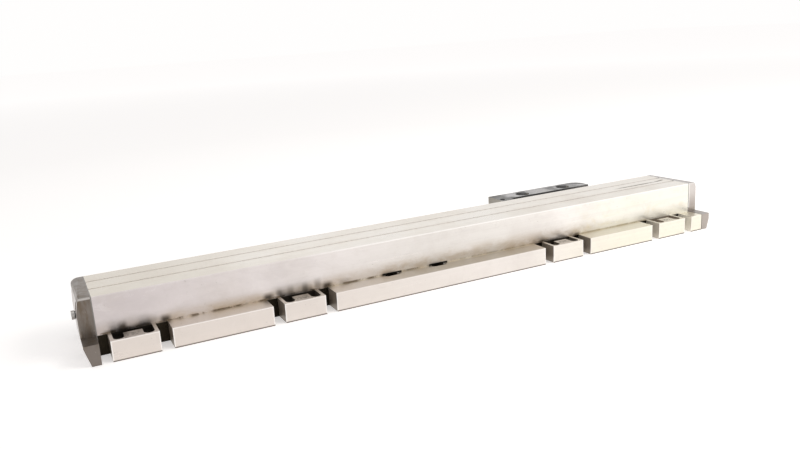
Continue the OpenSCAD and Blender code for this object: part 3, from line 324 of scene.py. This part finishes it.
def lay_dirt_and_cut_shade(f):
    """dirt on the foot of the wall, and painted shade above the cuts"""
    # thicker in places, tallest in the middle and gone near the right end
    tall = f.near(f.length, 35.0, 150.0, 50.0, 7.5 * MM, 12.5 * MM)
    share = math_step(f.tree, "DIVIDE", f.minus(f.height, flange_top * MM), tall)
    along = f.product(f.span(f.length, 150.0, 118.0), f.span(f.length, -214.0, -150.0, 0.45, 1.0))
    thick = f.band(f.blot, 0.34, 0.64, 0.22, 0.85)
    f.paint(f.product(f.band(share, 1.0, 0.05), f.wall, thick, along), (0.49, 0.40, 0.30))
    # painted shade and dark reflection of the cuts, in spots on the wall above the pockets and gaps
    ragged = f.band(f.blot, 0.26, 0.50, 0.45, 1.0)
    for place, rise, wide, strength in CUT_SHADE_SPOTS:
        across = f.near(f.length, place, wide * 1.1, wide * 0.2)
        up = f.span(f.height, flange_top + rise * 1.6, flange_top + rise * 0.4)
        f.paint(f.product(across, up, ragged, f.wall, strength), (0.085, 0.070, 0.058))
    # a thin broken line of dirt in the corner itself
    broken = f.band(f.noise(1.0, 4.0, 0.7, stretch=(150.0, 150.0, 150.0)), 0.40, 0.56, 0.0, 0.9)
    f.paint(f.product(f.corner, broken, f.span(f.length, 20.0, -50.0, 0.42, 1.0)), (0.15, 0.115, 0.08))
    # faint tan smears on the clean end of the wall, and a tan line in its corner
    clean_end = f.span(f.length, 105.0, 135.0)
    wisps = f.noise(1.0, 5.0, 0.6, stretch=(55.0, 55.0, 110.0), twist=0.7)
    smear = f.product(f.band(wisps, 0.46, 0.66, 0.0, 0.5), f.span(f.height, 27.0, 14.0, 0.25, 1.0))
    f.paint(f.product(f.wall, clean_end, smear), (0.72, 0.62, 0.42))
    f.paint(f.product(f.corner, clean_end, 0.45), (0.42, 0.34, 0.20))


def lay_flange_top(f):
    """tan film on the flange top, a pale strip, painted shade in the slots, pale pocket rims and scuffed
    tongues
    """
    f.paint(f.product(f.flange, f.band(f.cloud, 0.3, 0.7, 0.4, 0.8)), (0.83, 0.75, 0.65))
    f.paint(f.product(f.flange, f.span(f.length, -110.0, -130.0, 0.0, 0.4)), (0.92, 0.86, 0.79))
    f.paint(f.product(f.flange, f.span(f.length, 110.0, 130.0, 0.0, 0.6)), (0.95, 0.91, 0.76))
    f.paint(f.product(f.flange, f.near(f.length, 25.0, 75.0, 30.0, 0.0, 0.5)), (0.50, 0.46, 0.37))
    # pale strip painted beside the wall
    beside = f.span(f.depth, wall_face - 2.2, wall_face - 1.6)
    along = f.product(f.span(f.length, -120.0, -75.0, 0.25, 0.8), f.span(f.length, 182.0, 178.0))
    f.paint(f.product(f.flange, beside, along), (0.88, 0.82, 0.67))
    # painted shade: the slots of the rigid fixings are painted black up the foot of the wall
    for slot in SLOTS:
        mouth = f.product(f.near(f.length, slot, 7.3, 6.8),
                          f.span(f.height, flange_top + 1.2, flange_top + 0.8))
        f.paint(f.product(mouth, f.wall), (0.018, 0.016, 0.014))
    # each tongue has a scuffed patch where a screw head rubbed
    grains = f.band(f.noise(760.0, 2.0, 0.5), 0.46, 0.56)
    under_head = f.near(f.depth, flange_front + 5.5, 2.6, 2.0)
    for place, film, _ in BLOCKS:
        f.paint(f.product(f.flange, f.near(f.length, place, 13.6, 13.2), 0.6), (0.84, 0.80, 0.74))
        tongue = f.product(f.flange, f.near(f.length, place, 5.6, 5.2))
        f.paint(f.product(tongue, film), (0.34, 0.31, 0.27))
        patch = f.product(f.near(f.length, place, 4.0, 3.4), under_head)
        f.paint(f.product(tongue, patch, grains, 0.7), (0.14, 0.13, 0.115))


def lay_edge_highlights(f):
    """painted highlights on edges: the flange's front edge, its sawn corners and the ridge of the roof"""
    rim = f.product(f.span(f.depth, flange_front + 0.9, flange_front + 0.5),
                    f.near(f.height, flange_top, 0.8, 0.4))
    f.paint(f.product(rim, f.span(f.length, -115.0, -85.0, 0.45, 0.2)), EDGE_HIGHLIGHT)
    for end in SAWN_ENDS:
        f.paint(f.product(f.front, f.near(f.length, end, 0.8, 0.4), 0.55), EDGE_HIGHLIGHT)
    ridge = f.product(f.near(f.depth, wall_face, 0.9, 0.5), f.span(f.height, roof_top - 1.0, roof_top - 0.5))
    f.paint(f.product(ridge, f.span(f.length, -120.0, -40.0, 0.1, 0.5)), EDGE_HIGHLIGHT)


def lay_cuts(f):
    """gaps, pockets and slots in painted shade, painted paler towards the lit right end"""
    inside = f.product(f.span(f.depth, flange_front + 0.6, flange_front + 1.0),
                       f.span(f.depth, wall_face + 0.3, wall_face + 0.6, 1.0, 0.0))
    cuts = f.product(inside, f.below, f.upright)
    # painted shade: all cuts are painted a dark brown
    f.paint(cuts, (0.40, 0.345, 0.285))
    # painted light: the cuts are painted paler towards the right end
    f.paint(f.product(cuts, f.span(f.length, 140.0, 190.0, 0.0, 0.75)), (0.92, 0.87, 0.78))
    f.paint(f.product(cuts, f.span(f.length, 195.0, 222.0)), (1.0, 0.96, 0.87))
    # painted light: a pale patch is painted on the foot of the wall at the clean end, over its dark
    # reflection, and the cuts are made less metallic so they read dark with the painted shade
    painted_pale_foot = f.product(f.wall, f.span(f.length, 184.0, 192.0), f.span(f.height, 21.0, 15.0))
    f.paint(painted_pale_foot, (0.95, 0.92, 0.82))
    cut_metal_level = f.band(f.minus(cuts, f.wall), 0.0, 1.0, 1.0, 0.35)
    f.join(f.minus(cut_metal_level, f.product(painted_pale_foot, 0.4)), f.shader.inputs["Metallic"])
    # painted shade: the wall is painted black at the back of each gap
    f.paint(f.product(f.wall, f.below, f.upright), (0.020, 0.016, 0.011))
    # painted shade: each pocket's inside is painted its block's grey
    pits = f.product(cuts, f.span(f.depth, flange_front + 1.2, flange_front + 1.6))
    for place, _, grey in BLOCKS:
        pocket = f.near(f.length, place, 12.2, 11.8)
        f.paint(f.product(pits, pocket), (grey, grey * 0.86, grey * 0.70))
    # painted contact shadow: a dark line where the front face meets the bed
    contact_shadow_line = f.product(f.span(f.height, 0.9, 0.5), f.span(f.depth, flange_front + 0.3, flange_front + 0.1))
    f.paint(contact_shadow_line, (0.18, 0.155, 0.135))


def section_finish():
    """satin section with long die lines, brown dirt along the flange, painted shade in the sawn cuts and
    towards the left end, and painted highlights on edges
    """
    f = SectionFinish()
    lay_films_and_painted_shade(f)
    lay_mottle(f)
    lay_handling_marks(f)
    lay_dirt_and_cut_shade(f)
    lay_flange_top(f)
    lay_edge_highlights(f)
    lay_cuts(f)
    # small dark nicks
    f.paint(f.band(f.noise(620.0, 2.0, 0.6), 0.71, 0.77, 0.0, 0.4), (0.34, 0.31, 0.28))
    polish = math_step(f.tree, "ADD", f.product(f.cloud, 0.6), f.product(f.die, 0.4), clamp=True)
    f.vary_rough(polish, 0.26, 0.42)
    f.emboss(f.die, 0.00012, 0.10)
    f.emboss(f.noise(1.0, 3.0, 0.7, stretch=(14.0, 4200.0, 4200.0)), 0.00003, 0.10)
    return f.mat


# ---------- finishes of the other pieces ----------

def cap_finish():
    """blasted grey-brown metal with handling marks, painted reflection on its outer faces, painted light on
    the right cap and painted highlights on its edges
    """
    f = Finish("blasted_cap_metal", (0.205, 0.178, 0.158), 0.36, 0.85)
    length, depth, height = f.axis("X"), f.axis("Y"), f.axis("Z")
    cloud = f.noise(70.0, 5.0, 0.6)
    rubs = f.noise(1.0, 4.0, 0.6, stretch=(420.0, 60.0, 240.0), twist=0.8)
    f.paint(f.band(cloud, 0.35, 0.70, 0.0, 0.45), (0.17, 0.15, 0.13))
    f.paint(f.band(rubs, 0.60, 0.72, 0.0, 0.35), (0.42, 0.39, 0.36))
    # brown streaks of old coolant down the sides
    drips = f.noise(1.0, 5.0, 0.65, stretch=(260.0, 260.0, 45.0), twist=0.5)
    streaks = f.product(f.band(drips, 0.44, 0.62, 0.0, 0.6), f.span(height, 8.0, 14.0))
    f.paint(streaks, (0.125, 0.090, 0.055))
    # painted reflection: the outer end faces are painted brighter than the blasted sides
    f.paint(f.band(f.plain_size(f.facing("X")), 0.90, 0.96, 0.0, 0.9), (0.62, 0.585, 0.57))
    # painted light: the right cap is painted lighter, most of all high up, and less on its top
    right_cap = f.span(length, 100.0, 200.0)
    f.paint(f.product(right_cap, 0.78), (0.50, 0.45, 0.415))
    f.paint(f.product(right_cap, f.span(height, 16.0, 31.0), 0.8), (0.68, 0.645, 0.62))
    f.paint(f.product(right_cap, f.band(f.facing("Z"), 0.7, 0.9, 0.0, 0.9)), (0.41, 0.38, 0.37))
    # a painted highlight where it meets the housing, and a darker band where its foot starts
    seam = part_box("end_cap_right")[0][0] / MM
    f.paint(f.product(f.near(length, seam, 1.1, 0.6), f.span(height, 14.0, 16.0), 0.75), (0.90, 0.88, 0.85))
    f.paint(f.product(right_cap, f.near(height, 13.8, 2.2, 0.8), 0.35), (0.30, 0.26, 0.19))
    # a painted highlight on the edge between front and top of both caps
    fronts = f.span(depth, wall_face + 1.2, wall_face + 0.6)
    f.paint(f.product(fronts, f.near(height, roof_top - 0.5, 0.8, 0.3, 0.0, 0.6)), (0.70, 0.68, 0.66))
    f.vary_rough(cloud, 0.30, 0.46)
    f.emboss(f.noise(2600.0, 2.0, 0.6), 0.00004, 0.35)
    return f.mat


def block_finish():
    """dark cast mounting block, worn bright in patches on its top"""
    block_low, block_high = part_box("mounting_block")
    left, front, block_top = block_low[0] / MM, block_low[1] / MM, block_high[2] / MM
    f = Finish("worn_dark_block", (0.17, 0.165, 0.165), 0.38, 0.75)
    length, depth, height = f.axis("X"), f.axis("Y"), f.axis("Z")
    cloud = f.noise(95.0, 5.0, 0.62, twist=0.5)
    upward = f.band(f.facing("Z"), 0.7, 0.9)
    f.paint(f.band(cloud, 0.40, 0.7, 0.0, 0.5), (0.10, 0.10, 0.10))
    f.paint(f.product(upward, f.band(f.noise(60.0, 4.0, 0.6), 0.42, 0.6, 0.0, 0.75)), (0.56, 0.55, 0.55))
    # the left end is bare metal, and the top is dark beside it
    f.paint(f.band(f.facing("X"), -0.90, -0.97, 0.0, 0.8), (0.37, 0.345, 0.30))
    f.paint(f.product(upward, f.span(length, left + 11.0, left + 7.5, 0.0, 0.85)), (0.11, 0.105, 0.10))
    # painted shade: the earth strap's hole, near that end, is painted dark inside
    hole = f.product(f.near(length, left + 3.7, 2.6, 2.4), f.near(depth, front + 5.3, 2.6, 2.4))
    f.paint(f.product(hole, f.span(height, block_top - 0.1, block_top - 0.4)), (0.02, 0.018, 0.016))
    # the top is rubbed bright between the fixing holes
    rub = f.product(f.near(length, left + 43.0, 12.0, 5.0), upward, f.band(cloud, 0.35, 0.6, 0.4, 1.0))
    f.paint(rub, (0.47, 0.455, 0.45))
    f.vary_rough(cloud, 0.30, 0.5)
    f.emboss(f.noise(1900.0, 2.0, 0.6), 0.00005, 0.4)
    return f.mat


def machined_metal(name, colour, rough, tint):
    """metal with fine cutter marks and a darker film in places"""
    f = Finish(name, colour, rough, 1.0)
    film = f.noise(320.0, 4.0, 0.6)
    f.paint(f.band(film, 0.42, 0.68, 0.0, 0.55), tint)
    f.vary_rough(film, rough * 0.8, min(1.0, rough * 1.45))
    f.emboss(f.noise(1.0, 3.0, 0.6, stretch=(5200.0, 2600.0, 700.0)), 0.00002, 0.3)
    return f.mat


def moulded(name, colour, rough, dust=(0.30, 0.28, 0.26), amount=0.25, grain=1800.0, **fixed):
    """rubber or plastic with a fine moulded grain and a little dust"""
    f = Finish(name, colour, rough, 0.0, **fixed)
    veil = f.noise(140.0, 4.0, 0.6)
    f.paint(f.band(veil, 0.5, 0.75, 0.0, amount), dust)
    f.vary_rough(veil, rough * 0.85, min(1.0, rough * 1.25))
    f.emboss(f.noise(grain, 2.0, 0.5), 0.00004, 0.4)
    return f.mat


def clear_glass(name, colour, rough):
    """polished glass with a faint smear"""
    f = Finish(name, colour, rough, 0.0, Transmission_Weight=0.92, IOR=1.52)
    smear = f.noise(85.0, 4.0, 0.6, twist=0.6)
    f.paint(f.band(smear, 0.5, 0.8, 0.0, 0.2), [0.9 * tone for tone in colour])
    f.vary_rough(smear, rough, rough + 0.05)
    return f.mat


def ruled_chrome():
    """the two tracks: fine lines across the scale, broken into code on the upper one"""
    f = Finish("ruled_chrome_layer", (0.62, 0.63, 0.66), 0.16, 1.0)
    code = f.noise(1.0, 1.0, 0.5, stretch=(1500.0, 0.0, 0.0))
    upper_track = f.span(f.axis("Z"), 17.2, 17.3)
    f.paint(f.band(f.waves(400.0, "SAW"), 0.48, 0.52), (0.10, 0.11, 0.12))
    f.paint(f.product(upper_track, f.band(code, 0.49, 0.51)), (0.08, 0.09, 0.10))
    f.vary_rough(f.noise(60.0), 0.12, 0.22)
    return f.mat


def board_finish():
    """green solder mask with copper lines under it"""
    f = Finish("green_circuit_board", (0.035, 0.16, 0.075), 0.35, 0.0)
    lanes = f.stones(260.0, stretch=(1.0, 1.0, 2.4))
    f.paint(f.band(lanes, 0.10, 0.13, 0.8, 0.0), (0.10, 0.30, 0.14))
    f.vary_rough(f.noise(500.0), 0.28, 0.45)
    f.emboss(lanes, 0.00004, 0.3)
    return f.mat


def print_finish():
    """amber film with copper lanes"""
    f = Finish("amber_flexible_print", (0.62, 0.30, 0.07), 0.30, 0.1)
    f.paint(f.band(f.waves(320.0), 0.45, 0.55, 0.0, 0.8), (0.72, 0.40, 0.16))
    f.vary_rough(f.noise(300.0), 0.22, 0.38)
    return f.mat


finishes = {
    "housing_aluminium": section_finish(),
    "cap_metal": cap_finish(),
    "black_rubber": moulded("black_seal_rubber", (0.022, 0.022, 0.022), 0.62),
    "lip_rubber": moulded("lip_rubber_black", (0.028, 0.027, 0.026), 0.55),
    "screw_steel": machined_metal("dark_zinc_screw", (0.30, 0.295, 0.29), 0.34, (0.16, 0.15, 0.145)),
    "plug_steel": machined_metal("plug_zinc", (0.40, 0.385, 0.37), 0.33, (0.22, 0.20, 0.19)),
    "scale_glass": clear_glass("scale_glass_clear", (0.80, 0.93, 0.90), 0.02),
    "lens_glass": clear_glass("lens_glass_clear", (0.90, 0.95, 0.98), 0.01),
    "reticle_glass": clear_glass("reticle_glass_clear", (0.74, 0.86, 0.88), 0.03),
    "bonding_resin": moulded("red_bonding_resin", (0.36, 0.09, 0.05), 0.5, dust=(0.5, 0.2, 0.12)),
    "chrome_layer": ruled_chrome(),
    "carriage_aluminium": machined_metal("cast_carriage_aluminium", (0.56, 0.565, 0.575), 0.42,
                                         (0.42, 0.42, 0.43)),
    "circuit_board": board_finish(),
    "led_resin": moulded("amber_lamp_resin", (0.86, 0.66, 0.25), 0.12, amount=0.1, Transmission_Weight=0.6),
    "chip_plastic": moulded("chip_moulding", (0.035, 0.035, 0.038), 0.45),
    "flex_film": print_finish(),
    "spring_steel": machined_metal("spring_strip_steel", (0.66, 0.66, 0.67), 0.22, (0.50, 0.49, 0.46)),
    "fork_steel": machined_metal("fork_steel", (0.52, 0.52, 0.53), 0.30, (0.40, 0.39, 0.38)),
    "pin_steel": machined_metal("ground_pin_steel", (0.68, 0.68, 0.69), 0.20, (0.52, 0.51, 0.50)),
    "bearing_steel": machined_metal("bearing_ring_steel", (0.72, 0.72, 0.73), 0.16, (0.58, 0.58, 0.58)),
    "blade_steel": machined_metal("blade_ground_steel", (0.60, 0.605, 0.61), 0.24, (0.46, 0.45, 0.44)),
    "block_metal": block_finish(),
    "cover_metal": moulded("painted_cover", (0.07, 0.07, 0.072), 0.42, grain=1500.0),
    "shell_nickel": machined_metal("nickel_shell", (0.64, 0.63, 0.60), 0.18, (0.50, 0.48, 0.45)),
    "insert_plastic": moulded("insert_moulding", (0.02, 0.02, 0.022), 0.5),
    "contact_gold": machined_metal("gold_contacts", (0.85, 0.62, 0.22), 0.2, (0.70, 0.48, 0.16)),
}

for part in frame["record"]["subparts"]:
    mesh = nodes[part["node"]].data
    mesh.materials.clear()
    mesh.materials.append(finishes[part["material_slot"]])

# the two end gaskets are a greyer sheet than the other seals
grey_sheet = moulded("grey_gasket_sheet", (0.30, 0.285, 0.27), 0.6, dust=(0.42, 0.40, 0.38))
for name in ("gasket_left", "gasket_right"):
    nodes[name].data.materials[0] = grey_sheet

# broken edges catch the light; widths in millimetres
EDGE_WIDTHS = {"scale_housing": 0.35, "end_cap_left": 0.3, "end_cap_right": 0.3, "mounting_block": 0.35}
for name, width in EDGE_WIDTHS.items():
    weld = nodes[name].modifiers.new("joined_corners", "WELD")
    weld.merge_threshold = 0.002 * MM
    edge = nodes[name].modifiers.new("broken_edges", "BEVEL")
    edge.width = width * MM
    edge.segments = 2
    edge.limit_method = "ANGLE"
    edge.angle_limit = math.radians(50.0)
    edge.use_clamp_overlap = True


# ---------- studio ----------

# half the floor's side, and how far it lies below the object (metres)
FLOOR_HALF = 6.0
FLOOR_DROP = 0.05 * MM

# how much the paper glows for the camera, and in metal and glass
CAMERA_GLOW = 0.42
METAL_GLOW = 0.45

# distances (metres) between which the camera's glow grows, as the lamps reach less far, and by how much
LIFT_START = 0.9
LIFT_END = 2.6
LIFT = 0.17

# the surroundings' light on the object; the camera, metal and glass see them at 1
ROOM_LIGHT = 0.45


def floor_paper():
    """pale paper that glows white for the camera, and in metal and glass, and keeps the shadow"""
    mat = bpy.data.materials.new("studio_floor_paper")
    mat.use_nodes = True
    tree = mat.node_tree
    tree.nodes.clear()
    out = tree.nodes.new("ShaderNodeOutputMaterial")
    paper = tree.nodes.new("ShaderNodeBsdfDiffuse")
    paper.inputs["Color"].default_value = (0.90, 0.885, 0.88, 1.0)
    glow = tree.nodes.new("ShaderNodeEmission")
    glow.inputs["Color"].default_value = (1.0, 0.985, 0.98, 1.0)
    path = tree.nodes.new("ShaderNodeLightPath").outputs
    in_camera = math_step(tree, "MULTIPLY", path["Is Camera Ray"], CAMERA_GLOW)
    clear = math_step(tree, "MAXIMUM", path["Is Glossy Ray"], path["Is Transmission Ray"])
    seen = math_step(tree, "MAXIMUM", in_camera, math_step(tree, "MULTIPLY", clear, METAL_GLOW))
    place = tree.nodes.new("ShaderNodeTexCoord")
    away = tree.nodes.new("ShaderNodeVectorMath")
    away.operation = "LENGTH"
    tree.links.new(place.outputs["Object"], away.inputs[0])
    lift = tree.nodes.new("ShaderNodeMapRange")
    for key, value in (("From Min", LIFT_START), ("From Max", LIFT_END), ("To Min", 0.0), ("To Max", LIFT)):
        lift.inputs[key].default_value = value
    tree.links.new(away.outputs["Value"], lift.inputs["Value"])
    far_lift = math_step(tree, "MULTIPLY", lift.outputs["Result"], path["Is Camera Ray"])
    tree.links.new(math_step(tree, "ADD", seen, far_lift), glow.inputs["Strength"])
    both = tree.nodes.new("ShaderNodeAddShader")
    tree.links.new(paper.outputs[0], both.inputs[0])
    tree.links.new(glow.outputs[0], both.inputs[1])
    tree.links.new(both.outputs[0], out.inputs[0])
    return mat


def floor():
    """large pale floor just under the object"""
    shape = bmesh.new()
    bmesh.ops.create_grid(shape, x_segments=2, y_segments=2, size=FLOOR_HALF)
    mesh = bpy.data.meshes.new("studio_floor")
    shape.to_mesh(mesh)
    shape.free()
    mesh.materials.append(floor_paper())
    ob = bpy.data.objects.new("studio_floor", mesh)
    ob.location = (0.0, 0.0, cad_low[2] - FLOOR_DROP)
    bpy.context.collection.objects.link(ob)


def studio_air():
    """white surroundings that light the object at a plain level"""
    world = bpy.data.worlds.new("studio_air")
    bpy.context.scene.world = world
    world.use_nodes = True
    tree = world.node_tree
    tree.nodes.clear()
    out = tree.nodes.new("ShaderNodeOutputWorld")
    back = tree.nodes.new("ShaderNodeBackground")
    back.inputs["Color"].default_value = (1.0, 0.992, 0.985, 1.0)
    path = tree.nodes.new("ShaderNodeLightPath").outputs
    clear = math_step(tree, "MAXIMUM", path["Is Glossy Ray"], path["Is Transmission Ray"])
    seen = math_step(tree, "MAXIMUM", path["Is Camera Ray"], clear)
    level = tree.nodes.new("ShaderNodeMapRange")
    level.inputs["To Min"].default_value = ROOM_LIGHT
    level.inputs["To Max"].default_value = 1.0
    tree.links.new(seen, level.inputs["Value"])
    tree.links.new(level.outputs["Result"], back.inputs["Strength"])
    tree.links.new(back.outputs[0], out.inputs[0])


def panel(name, at, aim, size, watts, colour, in_metal=True):
    """a rectangular lamp that looks from at to aim; in_metal tells whether metal mirrors it"""
    data = bpy.data.lights.new(name, "AREA")
    data.shape = "RECTANGLE"
    data.size, data.size_y = size
    data.energy = watts
    data.color = colour
    ob = bpy.data.objects.new(name, data)
    ob.location = at
    ob.rotation_euler = (Vector(aim) - Vector(at)).to_track_quat("-Z", "Y").to_euler()
    ob.visible_glossy = in_metal
    bpy.context.collection.objects.link(ob)


floor()
studio_air()
# it lights the floor, and its mirror image in the roof would burn out to white from behind
panel("right_floor_panel", (0.85, -0.60, 0.85), (0.70, -0.50, 0.0), (0.8, 0.8), 9.0, (1.0, 0.985, 0.94),
      in_metal=False)
panel("top_panel", (0.1, 0.1, 1.6), (0.0, 0.0, 0.0), (1.8, 1.2), 4.0, (1.0, 0.98, 0.96))


# ---------- camera ----------

# where the camera stands, and its right and upward directions
CAMERA_PLACE = (-0.2414, -0.4353, 0.1690)
CAMERA_RIGHT = (0.8916, -0.4488, -0.0595)
CAMERA_UP = (0.1619, 0.1934, 0.9677)


def camera():
    """looks along the housing from its front left"""
    data = bpy.data.cameras.new("front_left_camera")
    data.sensor_width = 36.0
    data.lens = 35.0
    data.clip_start = 0.01
    data.clip_end = 50.0
    ob = bpy.data.objects.new("front_left_camera", data)
    right = Vector(CAMERA_RIGHT).normalized()
    back = right.cross(Vector(CAMERA_UP)).normalized()
    turn = Matrix((right, back.cross(right), back)).transposed()
    ob.matrix_world = Matrix.Translation(CAMERA_PLACE) @ turn.to_4x4()
    bpy.context.collection.objects.link(ob)
    bpy.context.scene.camera = ob


camera()
bpy.context.scene.view_settings.view_transform = "Standard"
